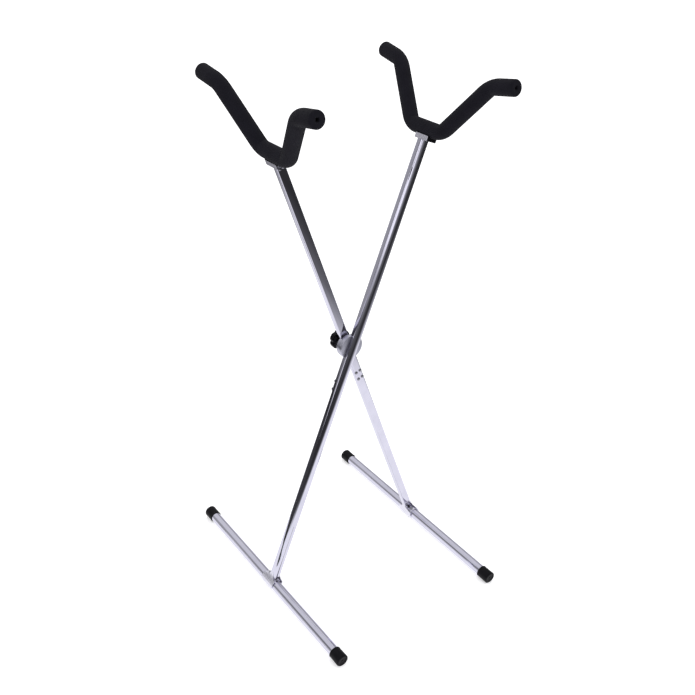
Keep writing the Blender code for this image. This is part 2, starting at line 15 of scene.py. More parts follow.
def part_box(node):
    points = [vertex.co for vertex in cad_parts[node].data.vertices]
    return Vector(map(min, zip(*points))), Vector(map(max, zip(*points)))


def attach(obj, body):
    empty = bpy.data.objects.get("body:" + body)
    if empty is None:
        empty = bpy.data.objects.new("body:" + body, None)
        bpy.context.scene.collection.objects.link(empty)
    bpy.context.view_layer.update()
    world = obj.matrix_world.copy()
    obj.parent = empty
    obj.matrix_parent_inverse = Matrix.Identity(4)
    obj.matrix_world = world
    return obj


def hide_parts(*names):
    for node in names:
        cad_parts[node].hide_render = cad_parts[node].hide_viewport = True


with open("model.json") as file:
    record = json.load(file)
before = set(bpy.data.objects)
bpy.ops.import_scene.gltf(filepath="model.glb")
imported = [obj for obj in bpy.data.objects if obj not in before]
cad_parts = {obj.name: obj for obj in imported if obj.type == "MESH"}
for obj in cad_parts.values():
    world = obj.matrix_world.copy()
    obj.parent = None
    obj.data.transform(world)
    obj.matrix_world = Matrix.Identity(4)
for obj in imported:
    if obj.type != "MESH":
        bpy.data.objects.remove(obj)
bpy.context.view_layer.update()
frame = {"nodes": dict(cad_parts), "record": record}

# ---------------------------------------------------------------- measures from the frame

PIVOT = Vector(frame["record"]["behaviour"]["joints"][0]["pos_m"])
FOOT_LOW, FOOT_HIGH = (Vector(corner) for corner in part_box("foot_a_tube"))
FOOT_CENTRE = (FOOT_LOW + FOOT_HIGH) / 2
TUBE_RADIUS = (FOOT_HIGH.x - FOOT_LOW.x) / 2
TUBE_HALF = (FOOT_HIGH.y - FOOT_LOW.y) / 2
LEAN = math.atan2(PIVOT.x - FOOT_CENTRE.x, PIVOT.z - FOOT_CENTRE.z)
LOWER = math.hypot(PIVOT.x - FOOT_CENTRE.x, PIVOT.z - FOOT_CENTRE.z)  # pivot to foot axis
LEG_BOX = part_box("leg_a_tube")
LEG_WIDTH = 0.013
LEG_FACE, LEG_BACK = -LEG_BOX[1][1], -LEG_BOX[0][1]
LEG_MIDDLE = (LEG_FACE + LEG_BACK) / 2
LEG_TOP = (LEG_BOX[1][2] - PIVOT.z - LEG_WIDTH / 2 * math.sin(LEAN)) / math.cos(LEAN)
DRUM_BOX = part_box("hub_drum")
KNOB_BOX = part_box("clamp_knob")
CAP_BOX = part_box("foot_a_cap_front")
FOAM_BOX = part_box("yoke_a_foam")
YOKE_MIDDLE = (FOAM_BOX[0][1] + FOAM_BOX[1][1]) / 2  # of leg A's yoke, along Y

# ---------------------------------------------------------------- sizes of the fine pieces

GAP = 0.0003  # between neighbouring pieces
FAR = 0.05  # beyond every piece that a cutter with this reach goes through
SHARP_ANGLE = math.radians(32)

WALL = 0.0012
LEG_CORNER = 0.0016
BOLT_HOLE = 0.0033
FOOT_EDGE = 0.0004  # the rolled edge of the foot tube's ends

SADDLE_INNER = TUBE_RADIUS + GAP
SADDLE_OUTER = SADDLE_INNER + 0.0015
SADDLE_Y = (-0.0198, 0.0092)  # the cheeks' ends along the foot, from the pivot's plane
CHEEK_TOP, CHEEK_SHOULDER = 0.0185, 0.0085  # where the flare starts and ends, above the foot axis
CHEEK_EASE = 0.004  # how far below its top a cheek starts to move out
CHEEK_WRAP = math.radians(24)  # below the foot axis
CHEEK_SHEET, CHEEK_TUCK = 0.0011, 0.0022
STRAP_HALF_TURN, STRAP_LOW, STRAP_HIGH = math.radians(62), -0.0082, 0.0155
ARCH_RADIUS, ARCH_RISE = 0.0030, 0.0115

PLATE_BACK = LEG_FACE - GAP
PLATE_SHEET = 0.0014
DRUM_RADIUS = 0.0185
DRUM_FRONT, DRUM_END = -DRUM_BOX[0][1], -DRUM_BOX[1][1]
TONGUE_WIDTH, TONGUE_END = 0.0100, 0.0756
DRUM_BEVEL, TONGUE_TOP, TONGUE_INSET = 0.00035, -0.012, 0.0001
FOLD_RANGE = math.radians(36.5)
SWING_CLEARANCE, SWING_REACH, SWING_OVERLAP = 0.0006, 0.04, -0.001
HUB_RIVETS_AT, HUB_RIVET_ALONG, HUB_RIVET_ACROSS = 0.0621, 0.0064, 0.0036
TAB_RIVET_DOWN, TAB_RIVET_ACROSS = 0.0055, 0.0026
RIVET_HEIGHT, RIVET_RADIUS = 0.0015, 0.0025
FOOT_RIVET_HEIGHT, FOOT_RIVET_RADIUS, FOOT_RIVET_OUT = 0.0019, 0.0027, 0.0125

KNOB_RADIUS, KNOB_FLUTE, KNOB_LOBES, KNOB_TURN = 0.0156, 0.0017, 6, math.radians(28)
KNOB_STEPS, KNOB_BOSS, KNOB_SHOULDER = 240, 0.0012, 0.0022
KNOB_HOLE, KNOB_HOLE_DEPTH, BOSS_RADIUS = 0.0043, 0.004, 0.009

CAP_RADIUS, CAP_LENGTH, CAP_FLAT = 0.0095, 0.020, 0.0003
CAP_CORNER, CAP_FLOOR, CAP_PLAY = 0.0018, 0.0036, 0.0001

FOAM_RADIUS, FOAM_HOLE, FOAM_HOLE_DEPTH, FOAM_ROUNDING = 0.0105, 0.0023, 0.0085, 0.0030
BEND_STEPS = 12
YOKE_RISE, YOKE_TILT = 0.0127, math.radians(2.2)
YOKE_FLAT, YOKE_REACH, YOKE_HEIGHT = 0.030, 0.0886, 0.0733
TIP_LENGTH, TIP_SLOPE = 0.0406, math.radians(9.9)
# Bend radii of the centre line, for the side of the foam outside a bend and the side inside it
OUTER_BENDS, INNER_BENDS = (0.036, 0.026, 0.026, 0.036), (0.0135, 0.0118, 0.0118, 0.0135)
BRACKET_INNER, BRACKET_SHEET = LEG_WIDTH / 2 + GAP, 0.0016
BRACKET_DROP, BRACKET_LIP, BRACKET_BEVEL = 0.0024, 0.0043, 0.00045
POST_RADIUS, POST_START, POST_SHORT = 0.004, 0.001, 0.002
PAD_SHEET, PAD_INSET, PAD_BEVEL = 0.0012, 0.0006, 0.0004
BRACKET_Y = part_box("yoke_a_bracket")[0][1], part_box("yoke_a_bracket")[1][1]

ALONG_Y = Matrix.Rotation(-math.pi / 2, 4, "X")
ALONG_MINUS_Y = Matrix.Rotation(math.pi / 2, 4, "X")
LEGS = {
    "a": Matrix.Translation(PIVOT) @ Matrix.Rotation(LEAN, 4, "Y"),
    "b": Matrix.Translation(PIVOT) @ Matrix.Rotation(math.pi, 4, "Z") @ Matrix.Rotation(LEAN, 4, "Y"),
}


# ---------------------------------------------------------------- camera

CAMERA_PLACE = (-0.6578, -0.8851, 1.0156)
CAMERA_AZIMUTH, CAMERA_ELEVATION, CAMERA_ROLL = math.radians(-36.39), math.radians(30.0), math.radians(1.33)


def make_camera():
    """A camera at the stand's front left, looking down on it."""
    azimuth, elevation, roll = CAMERA_AZIMUTH, CAMERA_ELEVATION, CAMERA_ROLL
    back = Vector((
        math.sin(azimuth) * math.cos(elevation),
        -math.cos(azimuth) * math.cos(elevation),
        math.sin(elevation),
    ))
    level = Vector((math.cos(azimuth), math.sin(azimuth), 0))
    up = back.cross(level)
    right = level * math.cos(roll) + up * math.sin(roll)
    up = up * math.cos(roll) - level * math.sin(roll)
    camera = bpy.data.objects.new("camera", bpy.data.cameras.new("camera"))
    camera.matrix_world = Matrix.Translation(CAMERA_PLACE) @ Matrix((
        (right.x, up.x, back.x, 0),
        (right.y, up.y, back.y, 0),
        (right.z, up.z, back.z, 0),
        (0, 0, 0, 1),
    ))
    camera.data.sensor_width = 36
    camera.data.lens = 46.33
    camera.data.shift_x = 0.0022
    camera.data.shift_y = -0.0015
    camera.data.clip_start, camera.data.clip_end = 0.05, 60
    bpy.context.scene.collection.objects.link(camera)
    bpy.context.scene.camera = camera


# ---------------------------------------------------------------- materials

class Nodes:
    """Short calls for building one material's node tree."""

    def __init__(self, name):
        self.material = bpy.data.materials.new(name)
        self.material.use_nodes = True
        self.tree = self.material.node_tree
        self.shader = self.tree.nodes["Principled BSDF"]
        self.place = self.tree.nodes.new("ShaderNodeTexCoord").outputs["Object"]

    def add(self, kind, links=None, **settings):
        node = self.tree.nodes.new(f"ShaderNode{kind}")
        for key, value in settings.items():
            if hasattr(node, key):
                setattr(node, key, value)
            else:
                node.inputs[key].default_value = value
        for socket, source in (links or {}).items():
            self.tree.links.new(source, node.inputs[socket])
        return node

    def stretched(self, scale):
        return self.add("Mapping", {"Vector": self.place}, Scale=scale).outputs["Vector"]

    def noise(self, scale, detail=4.0, roughness=0.55, vector=None):
        settings = {"Scale": scale, "Detail": detail, "Roughness": roughness}
        return self.add("TexNoise", {"Vector": vector or self.place}, **settings).outputs["Fac"]

    def spread(self, source, low, high, start=0.35, end=0.65):
        """Maps a noise to the values between low and high."""
        node = self.add("MapRange", {"Value": source})
        for socket, value in (("From Min", start), ("From Max", end), ("To Min", low), ("To Max", high)):
            node.inputs[socket].default_value = value
        return node.outputs["Result"]

    def tint(self, source, one, other):
        ramp = self.add("ValToRGB", {"Fac": source})
        ramp.color_ramp.elements[0].position, ramp.color_ramp.elements[1].position = 0.3, 0.7
        ramp.color_ramp.elements[0].color = (*one, 1)
        ramp.color_ramp.elements[1].color = (*other, 1)
        return ramp.outputs["Color"]

    def bump(self, source, distance, strength=1.0, below=None):
        links = {"Height": source}
        if below:
            links["Normal"] = below
        return self.add("Bump", links, Strength=strength, Distance=distance).outputs["Normal"]

    def feed(self, **links):
        for socket, source in links.items():
            self.tree.links.new(source, self.shader.inputs[socket.replace("_", " ")])

    def set(self, **values):
        for socket, value in values.items():
            self.shader.inputs[socket.replace("_", " ")].default_value = value


def metal(name, one, other, low, high, along=(1, 1, 1), line_depth=0.0, grain=2400.0, grain_depth=0.0):
    """A plated metal: two close tints, uneven roughness, drawing lines along the piece and a fine grain."""
    made = Nodes(name)
    cloud = made.noise(38.0, 5.0, 0.6)
    lines = made.noise(900.0, 3.0, 0.6, made.stretched(along))
    fine = made.noise(grain, 2.0, 0.5)
    rough = made.spread(cloud, low, high)
    surface = made.bump(lines, line_depth)
    surface = made.bump(fine, grain_depth, below=surface)
    made.feed(Base_Color=made.tint(cloud, one, other), Roughness=rough, Normal=surface)
    made.set(Metallic=1.0)
    return made.material


def foam_material():
    """Smooth-skinned closed-cell foam: near black, a little cool, with a faint sheen."""
    made = Nodes("foam")
    cloud = made.noise(60.0, 5.0, 0.6)
    cells = made.add("TexVoronoi", {"Vector": made.place}, Scale=1500.0).outputs["Distance"]
    skin = made.noise(420.0, 4.0, 0.6)
    surface = made.bump(cells, 0.00006)
    surface = made.bump(skin, 0.00012, below=surface)
    made.feed(
        Base_Color=made.tint(cloud, (0.0050, 0.0045, 0.0085), (0.0072, 0.0066, 0.0118)),
        Roughness=made.spread(skin, 0.72, 0.88),
        Normal=surface,
    )
    made.set(Specular_IOR_Level=0.10, Sheen_Weight=0.02, Sheen_Roughness=0.5)
    return made.material


def moulded(name, one, other, low, high, grain, depth, specular):
    """A moulded black plastic or rubber with a fine eroded grain."""
    made = Nodes(name)
    cloud = made.noise(90.0, 4.0, 0.6)
    fine = made.noise(grain, 3.0, 0.6)
    made.feed(
        Base_Color=made.tint(cloud, one, other),
        Roughness=made.spread(cloud, low, high),
        Normal=made.bump(fine, depth),
    )
    made.set(Specular_IOR_Level=specular)
    return made.material


ALONG_Z_STRETCH = (1, 1, 0.02)
MATERIALS = {
    "chrome_tube": metal(
        "chrome", (0.70, 0.69, 0.80), (0.76, 0.75, 0.86), 0.04, 0.08, ALONG_Z_STRETCH, 0.000004,
    ),
    "chrome_pressing": metal(
        "chrome_pressing", (0.80, 0.79, 0.88), (0.86, 0.85, 0.93), 0.24, 0.34,
        (1, 1, 1), 0.000006, 1200, 0.000002,
    ),
    "zinc_pressing": metal(
        "zinc_pressing", (0.55, 0.55, 0.64), (0.64, 0.64, 0.73), 0.30, 0.42,
        (1, 1, 1), 0.00001, 1600, 0.000006,
    ),
    "zinc_fasteners": metal(
        "zinc_fasteners", (0.28, 0.28, 0.31), (0.40, 0.40, 0.43), 0.14, 0.24,
        (1, 1, 1), 0.00001, 2000, 0.000006,
    ),
    "yoke_wire": metal(
        "yoke_wire", (0.44, 0.44, 0.46), (0.55, 0.55, 0.57), 0.32, 0.48, ALONG_Z_STRETCH, 0.00001,
    ),
    "foam": foam_material(),
    "rubber": moulded(
        "rubber", (0.0018, 0.0015, 0.0032), (0.0036, 0.0032, 0.0056), 0.38, 0.52, 1500, 0.00002, 0.13,
    ),
    "knob_plastic": moulded(
        "knob_plastic", (0.0015, 0.0014, 0.0026), (0.003, 0.0028, 0.0046), 0.20, 0.32, 1800, 0.00001, 0.15,
    ),
    "brass": metal("brass", (0.66, 0.48, 0.22), (0.76, 0.58, 0.30), 0.22, 0.36, (1, 1, 1), 0.00001),
    "friction_fibre": moulded(
        "friction_fibre", (0.07, 0.062, 0.055), (0.13, 0.118, 0.105), 0.85, 0.95, 700, 0.00006, 0.2,
    ),
}


# ---------------------------------------------------------------- studio

CARD_PEAK = 1.2  # the strongest that a card glows


def make_card(name, mesh, strengths, along="Z"):
    """A card that only glossy rays see: it gives the chrome something to mirror.

    strengths is a list of (distance, strength) pairs. The distance is the card's own Z coordinate,
    or the distance from its origin where along is "LENGTH".
    """
    card = bpy.data.objects.new(name, mesh)
    bpy.context.scene.collection.objects.link(card)
    material = bpy.data.materials.new(name)
    material.use_nodes = True
    tree = material.node_tree
    tree.nodes.remove(tree.nodes["Principled BSDF"])
    glow = tree.nodes.new("ShaderNodeEmission")
    glow.inputs["Color"].default_value = (0.97, 0.97, 1.0, 1)
    tree.links.new(glow.outputs[0], tree.nodes["Material Output"].inputs["Surface"])
    if len(strengths) == 1:
        glow.inputs["Strength"].default_value = strengths[0][1]
    else:
        tree.links.new(ramp_of_distance(tree, strengths, along), glow.inputs["Strength"])
    mesh.materials.append(material)
    card.visible_camera = False
    card.visible_diffuse = False
    card.visible_shadow = False
    card.visible_transmission = False
    card.visible_volume_scatter = False
    return card


def ramp_of_distance(tree, strengths, along):
    place = tree.nodes.new("ShaderNodeTexCoord").outputs["Object"]
    if along == "LENGTH":
        measure = tree.nodes.new("ShaderNodeVectorMath")
        measure.operation = "LENGTH"
        distance = measure.outputs["Value"]
    else:
        measure = tree.nodes.new("ShaderNodeSeparateXYZ")
        distance = measure.outputs[along]
    tree.links.new(place, measure.inputs[0])
    reach = strengths[-1][0]
    share = tree.nodes.new("ShaderNodeMath")
    share.operation = "DIVIDE"
    share.inputs[1].default_value = reach
    tree.links.new(distance, share.inputs[0])
    ramp = tree.nodes.new("ShaderNodeValToRGB")
    elements = ramp.color_ramp.elements
    while len(elements) < len(strengths):
        elements.new(0.5)
    for element, (at, strength) in zip(elements, strengths):
        element.position = at / reach
        element.color = (*[strength / CARD_PEAK] * 3, 1)
    tree.links.new(share.outputs[0], ramp.inputs["Fac"])
    scale = tree.nodes.new("ShaderNodeMath")
    scale.operation = "MULTIPLY"
    scale.inputs[1].default_value = CARD_PEAK
    tree.links.new(ramp.outputs["Color"], scale.inputs[0])
    return scale.outputs[0]


def make_flat(name, corners):
    mesh = bpy.data.meshes.new(name)
    mesh.from_pydata(corners, [], [range(len(corners))])
    return mesh


def make_upright(name, start, end, low, high, *strengths):
    corners = [(*start, low), (*end, low), (*end, high), (*start, high)]
    make_card(name, make_flat(name, corners), strengths)


def make_ring_mesh(name, inner, outer, steps=64):
    mesh = bpy.data.meshes.new(name)
    points = circle(inner, steps) + circle(outer, steps)
    faces = [(i, (i + 1) % steps, steps + (i + 1) % steps, steps + i) for i in range(steps)]
    mesh.from_pydata(points, [], faces)
    return mesh


def make_studio():
    world = bpy.data.worlds.new("studio")
    bpy.context.scene.world = world
    world.use_nodes = True
    world.node_tree.nodes["Background"].inputs["Color"].default_value = (1, 1, 1, 1)
    world.node_tree.nodes["Background"].inputs["Strength"].default_value = 1.08
    bpy.context.scene.view_settings.view_transform = "Standard"

    reach = 20
    corners = [(-reach, -reach, 0), (reach, -reach, 0), (reach, reach, 0), (-reach, reach, 0)]
    mesh = make_flat("floor", corners)
    floor = bpy.data.objects.new("floor", mesh)
    bpy.context.scene.collection.objects.link(floor)
    material = bpy.data.materials.new("floor")
    material.use_nodes = True
    shader = material.node_tree.nodes["Principled BSDF"]
    shader.inputs["Base Color"].default_value = (0.95, 0.95, 0.965, 1)
    shader.inputs["Roughness"].default_value = 0.9
    shader.inputs["Specular IOR Level"].default_value = 0.0
    shader.inputs["Emission Color"].default_value = (1, 1, 1, 1)
    shader.inputs["Emission Strength"].default_value = 0.32
    mesh.materials.append(material)

    make_reflections()


def make_reflections():
    """Cards round the stand, seen only in the chrome: a pool of white floor in a darker room."""
    far, side_wall, front_wall, right_wall, ceiling = 7.0, -3.0, -4.0, 4.0, 3.4
    pool = make_card(
        "white_pool_and_floor", make_ring_mesh("white_pool_and_floor", 0.001, far),
        [(0, 1.02), (0.60, 1.02), (0.75, 0.70), (0.90, 0.36), (1.05, 0.16), (1.40, 0.07), (1.75, 0.035)],
        "LENGTH",
    )
    pool.location = (-0.15, 0, 0.0004)
    patch = [(-0.36, -0.10), (-0.36, 0.20), (-0.44, 0.32), (-0.70, 1.20), (-2.50, 2.00)]
    patch += [(-2.50, 0.50), (-0.90, 0.14), (-0.60, 0.10), (-0.45, -0.10)]
    patch = [(x, y, 0.0008) for x, y in patch]
    make_card("dark_floor_patch", make_flat("dark_floor_patch", patch), [(0, 0.05)])

    make_upright(
        "side_wall_middle", (side_wall, -2.0), (side_wall, 1.5), 0, 2.6,
        (0, 0.03), (0.35, 0.04), (0.60, 0.09), (0.78, 0.20), (0.95, 0.50), (1.15, 1.2), (2.6, 1.2),
    )
    make_upright(
        "side_wall_front", (side_wall, front_wall), (side_wall, -2.0), 0, 2.4,
        (0, 0.05), (0.50, 0.08), (0.85, 0.14), (1.25, 0.48), (2.40, 0.60),
    )
    make_upright(
        "side_wall_bar", (side_wall, 1.5), (side_wall, 2.7), 0, ceiling,
        (0, 0.80), (0.60, 0.75), (0.78, 0.20), (1.3, 0.22), (ceiling, 0.34),
    )
    make_upright(
        "side_wall_back", (side_wall, 2.7), (side_wall, far), 0, ceiling,
        (0, 0.16), (0.40, 0.36), (ceiling, 0.44),
    )
    make_upright(
        "front_wall_left", (side_wall, front_wall), (-0.6, front_wall), 0, 2.4,
        (0, 0.05), (1.0, 0.19),
    )
    make_upright("front_wall_right", (-0.6, front_wall), (far, front_wall), 0, 5, (0, 0.06))
    make_upright("right_wall", (right_wall, -far), (right_wall, far), 0, 5, (0, 0.36))
    top = [(side_wall, -far), (far, -far), (far, far), (side_wall, far)]
    top = [(x, y, ceiling) for x, y in top]
    make_card("grey_ceiling", make_flat("grey_ceiling", top), [(0, 0.74)])


# ---------------------------------------------------------------- mesh helpers

def make_piece(name, bm, place, slot, body, replaced=(), angle=SHARP_ANGLE):
    """Makes a smooth-shaded piece with its finish, body and the CAD nodes that it stands for."""
    bmesh.ops.recalc_face_normals(bm, faces=bm.faces)
    mesh = bpy.data.meshes.new(name)
    bm.to_mesh(mesh)
    bm.free()
    mesh.shade_smooth()
    mesh.set_sharp_from_angle(angle=angle)
    mesh.materials.append(MATERIALS[slot])
    piece = bpy.data.objects.new(name, mesh)
    piece.matrix_world = place
    bpy.context.scene.collection.objects.link(piece)
    if replaced:
        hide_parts(*replaced)
    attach(piece, body)
    return piece


def cut(piece, *shapes):
    """Cuts shapes, in the piece's own coordinates, out of the piece, and applies the result."""
    for bm in shapes:
        bmesh.ops.recalc_face_normals(bm, faces=bm.faces)
        mesh = bpy.data.meshes.new("cutter")
        bm.to_mesh(mesh)
        bm.free()
        cutter = bpy.data.objects.new("cutter", mesh)
        cutter.matrix_world = piece.matrix_world
        bpy.context.scene.collection.objects.link(cutter)
        modifier = piece.modifiers.new("Cut", "BOOLEAN")
        modifier.operation = "DIFFERENCE"
        modifier.object = cutter
        bpy.context.view_layer.update()
        result = bpy.data.meshes.new_from_object(piece.evaluated_get(bpy.context.evaluated_depsgraph_get()))
        piece.modifiers.clear()
        piece.data = result
        bpy.data.objects.remove(cutter, do_unlink=True)
    piece.data.shade_smooth()
    piece.data.set_sharp_from_angle(angle=SHARP_ANGLE)


def bevel(piece, width, segments=3):
    modifier = piece.modifiers.new("Bevel", "BEVEL")
    modifier.width = width
    modifier.segments = segments
    modifier.limit_method = "ANGLE"
    modifier.angle_limit = SHARP_ANGLE
    modifier.harden_normals = True


def loft(bm, rings, closed=False):
    """Joins rings of points with side faces. Unless closed into a loop, the two ends are capped."""
    made = [[bm.verts.new(point) for point in ring] for ring in rings]
    pairs = list(zip(made, made[1:]))
    if closed:
        pairs.append((made[-1], made[0]))
    for one, other in pairs:
        for i in range(len(one)):
            j = (i + 1) % len(one)
            bm.faces.new((one[i], one[j], other[j], other[i]))
    if not closed:
        bm.faces.new(made[0])
        bm.faces.new(made[-1])
    return bm


def circle(radius, steps, height=0.0):
    turns = (2 * math.pi * i / steps for i in range(steps))
    return [Vector((radius * math.cos(t), radius * math.sin(t), height)) for t in turns]


def rod_between(low, high, radius, steps, turn=None, place=(0, 0, 0)):
    matrix = Matrix.Translation(place) @ (turn or Matrix.Identity(4))
    return loft(bmesh.new(), [[matrix @ p for p in circle(radius, steps, h)] for h in (low, high)])


def lathe(profile, steps):
    """A solid turned about Z from (radius, height) points. Ends on the axis close to a point."""
    bm = bmesh.new()
    rows = []
    for radius, height in profile:
        if radius == 0:
            rows.append([bm.verts.new((0, 0, height))])
        else:
            rows.append([bm.verts.new(p) for p in circle(radius, steps, height)])
    closed = len(rows[0]) > 1
    pairs = list(zip(rows, rows[1:])) + ([(rows[-1], rows[0])] if closed else [])
    for one, other in pairs:
        for i in range(steps):
            j = (i + 1) % steps
            corners = [one[i % len(one)], one[j % len(one)], other[j % len(other)], other[i % len(other)]]
            bm.faces.new(list(dict.fromkeys(corners)))
    return bm


def prism(outline, low, high):
    return loft(bmesh.new(), [[Vector((x, y, height)) for x, y in outline] for height in (low, high)])


def arc(centre, radius, start, end, steps):
    turns = (start + (end - start) * i / steps for i in range(steps + 1))
    return [(centre[0] + radius * math.cos(t), centre[1] + radius * math.sin(t)) for t in turns]


def join(*parts):
    """Puts several bmeshes into the first."""
    whole = parts[0]
    for part in parts[1:]:
        mesh = bpy.data.meshes.new("part")
        part.to_mesh(mesh)
        part.free()
        whole.from_mesh(mesh)
        bpy.data.meshes.remove(mesh)
    return whole


# ---------------------------------------------------------------- legs and feet

def leg_section(inset):
    """The leg tube's outline in X and Y, drawn in by inset. Its flat face looks at +Y."""
    half = LEG_WIDTH / 2 - inset
    face = -LEG_FACE - inset
    corner = LEG_CORNER - inset
    right = arc((half - corner, face - corner), corner, math.pi / 2, 0, 8)
    left = arc((-half + corner, face - corner), corner, math.pi, math.pi / 2, 8)
    back = arc((0, LEG_WIDTH / 2 - LEG_BACK), half, 0, -math.pi, 48)
    return right + back + left


def make_leg(letter):
    rings = []
    for inset, height in ((0, -LOWER), (0, LEG_TOP), (WALL, LEG_TOP), (WALL, -LOWER)):
        rings.append([Vector((x, y, height)) for x, y in leg_section(inset)])
    leg = make_piece(
        f"leg_{letter}_chromed_tube", loft(bmesh.new(), rings, closed=True),
        LEGS[letter], "chrome_tube", f"leg_{letter}", [f"leg_{letter}_tube"],
    )
    cut(
        leg,
        rod_between(-FAR, FAR, SADDLE_OUTER + GAP, 64, ALONG_Y, (0, 0, -LOWER)),
        rod_between(-FAR, FAR, ARCH_RADIUS, 32, ALONG_Y, (0, 0, ARCH_RISE - LOWER)),
        rod_between(0, LEG_MIDDLE if letter == "a" else FAR, BOLT_HOLE, 32, ALONG_MINUS_Y),
    )


def cheek_row(row, rows, drop):
    """One row of a cheek: how far out it is, its height over the foot axis and its two ends in Y.

    The first rows, up to drop, come down the leg. The others wrap round the tube.
    """
    top_x = LEG_WIDTH / 2 + 0.0001
    outer_edge, inner_edge = -LEG_MIDDLE - 0.0012, -LEG_FACE - 0.0008
    if row <= drop:
        height = CHEEK_TOP * (1 - row / drop)
        ease = min(1.0, max(0.0, (CHEEK_TOP - CHEEK_EASE - height) / (CHEEK_TOP - CHEEK_EASE)))
        x = top_x + (SADDLE_OUTER - top_x) * ease * ease * (3 - 2 * ease)
    else:
        turn = CHEEK_WRAP * (row - drop) / (rows - drop)
        x, height = SADDLE_OUTER * math.cos(turn), -SADDLE_OUTER * math.sin(turn)
    down = min(1.0, max(0.0, (CHEEK_TOP - height) / (CHEEK_TOP - CHEEK_SHOULDER)))
    flare = 1 - math.sqrt(1 - down * down)
    corner_rows = 4
    tuck = max(0.0, (row - rows + corner_rows) / corner_rows) ** 2 * CHEEK_TUCK
    low = outer_edge + (SADDLE_Y[0] - outer_edge) * flare + tuck
    high = inner_edge + (SADDLE_Y[1] - inner_edge) * flare - tuck
    return x, height, low, high


def cheek(side):
    """One side of the saddle: it comes down the leg, flares out along the foot and wraps the tube."""
    rows, drop, columns = 34, 22, 22
    bm = bmesh.new()
    grid = []
    for row in range(rows + 1):
        x, height, low, high = cheek_row(row, rows, drop)
        ring = []
        for column in range(columns + 1):
            y = low + (high - low) * column / columns
            ring.append(bm.verts.new((side * x, y, height - LOWER)))
        grid.append(ring)
    for one, other in zip(grid, grid[1:]):
        for i in range(columns):
            corners = (one[i], one[i + 1], other[i + 1], other[i])
            bm.faces.new(corners if side > 0 else corners[::-1])
    bmesh.ops.recalc_face_normals(bm, faces=bm.faces)
    if sum(face.normal.x for face in bm.faces) * side < 0:
        bmesh.ops.reverse_faces(bm, faces=bm.faces)
    bmesh.ops.solidify(bm, geom=list(bm.faces), thickness=CHEEK_SHEET)
    return bm


def make_saddle(letter):
    """The chromed saddle: a strap over the foot tube, and a cheek on each side of the leg."""
    start, end = math.pi / 2 - STRAP_HALF_TURN, math.pi / 2 + STRAP_HALF_TURN
    outline = arc((0, 0), SADDLE_OUTER - 0.0004, start, end, 32)
    outline += arc((0, 0), SADDLE_INNER, end, start, 32)
    strap = prism(outline, STRAP_LOW, STRAP_HIGH)  # its own Z points along -Y
    strap.transform(Matrix.Translation((0, 0, -LOWER)) @ ALONG_MINUS_Y)
    make_piece(
        f"foot_{letter}_flared_saddle", join(strap, cheek(-1), cheek(1)), LEGS[letter],
        "chrome_pressing", f"leg_{letter}", [f"foot_{letter}_saddle"],
    )


def make_foot(letter):
    """The foot's chromed tube, with its ends rolled in a little under the caps."""
    inner, end = TUBE_RADIUS - WALL, TUBE_RADIUS - FOOT_EDGE
    profile = [
        (inner, -TUBE_HALF), (end, -TUBE_HALF), (TUBE_RADIUS, FOOT_EDGE - TUBE_HALF),
        (TUBE_RADIUS, TUBE_HALF - FOOT_EDGE), (end, TUBE_HALF), (inner, TUBE_HALF),
    ]
    place = LEGS[letter] @ Matrix.Translation((0, 0, -LOWER)) @ ALONG_Y
    make_piece(
        f"foot_{letter}_chromed_tube", lathe(profile, 128), place,
        "chrome_tube", f"leg_{letter}", [f"foot_{letter}_tube"],
    )


def cap_profile():
    """A cap's profile: socket for the tube, rolled lip, slight swell, rounded end, dished end face."""
    end, socket = CAP_LENGTH, TUBE_RADIUS + CAP_PLAY
    profile = [(0, end - CAP_FLOOR), (socket, end - CAP_FLOOR), (socket, 0.0004)]
    profile += [(TUBE_RADIUS + 0.0004, 0.0), (CAP_RADIUS - 0.0005, 0.0), (CAP_RADIUS - 0.0001, 0.0004)]
    profile += [(CAP_RADIUS - 0.0001, 0.0012), (CAP_RADIUS - 0.0004, 0.0017), (CAP_RADIUS - 0.0003, 0.0040)]
    profile += arc((CAP_RADIUS - CAP_CORNER, end - CAP_CORNER), CAP_CORNER, 0, math.pi / 2, 10)
    profile += [(0.0062, end), (0.0058, end - 0.0003), (0.0052, end - 0.0005), (0.0020, end - 0.0006)]
    profile += [(0.0014, end - 0.0002), (0.0006, end - 0.0001), (0, end - 0.0001)]
    return profile


def make_cap(letter, side, word):
    """A moulded rubber end cap, with a flat pressed into it where it stands on the floor."""
    level = Matrix.Rotation(-LEAN, 4, "Y")
    turn = level @ (ALONG_Y if side > 0 else ALONG_MINUS_Y)
    # Boxes are in world axes, so a cap's place comes from leg A's front cap.
    outer = -CAP_BOX[0][1]
    place = LEGS[letter] @ Matrix.Translation((0, side * (outer - CAP_LENGTH), -LOWER)) @ turn
    cap = make_piece(
        f"foot_{letter}_rubber_cap_{word}", lathe(cap_profile(), 72), place,
        "rubber", f"leg_{letter}", [f"foot_{letter}_cap_{word}"],
    )
    down = (place.inverted().to_3x3() @ Vector((0, 0, -1))).normalized()
    turn_down = down.to_track_quat("Z", "Y").to_matrix().to_4x4()
    block = prism([(-FAR, -FAR), (FAR, -FAR), (FAR, FAR), (-FAR, FAR)], CAP_RADIUS - CAP_FLAT, FAR)
    block.transform(turn_down)
    cut(cap, block)


# ---------------------------------------------------------------- rivets

def rivet(height, radius, base=0.0, foot=0.0006):
    """A domed rivet head standing on height base, with a short shank below it."""
    profile = [(0, base - foot), (radius * 0.8, base - foot), (radius * 0.8, base), (radius, base)]
    steps = 7
    for i in range(1, steps):
        turn = math.pi / 2 * i / steps
        profile.append((radius * math.cos(turn) ** 0.6, base + height * math.sin(turn)))
    profile.append((0, base + height))
    return lathe(profile, 28)


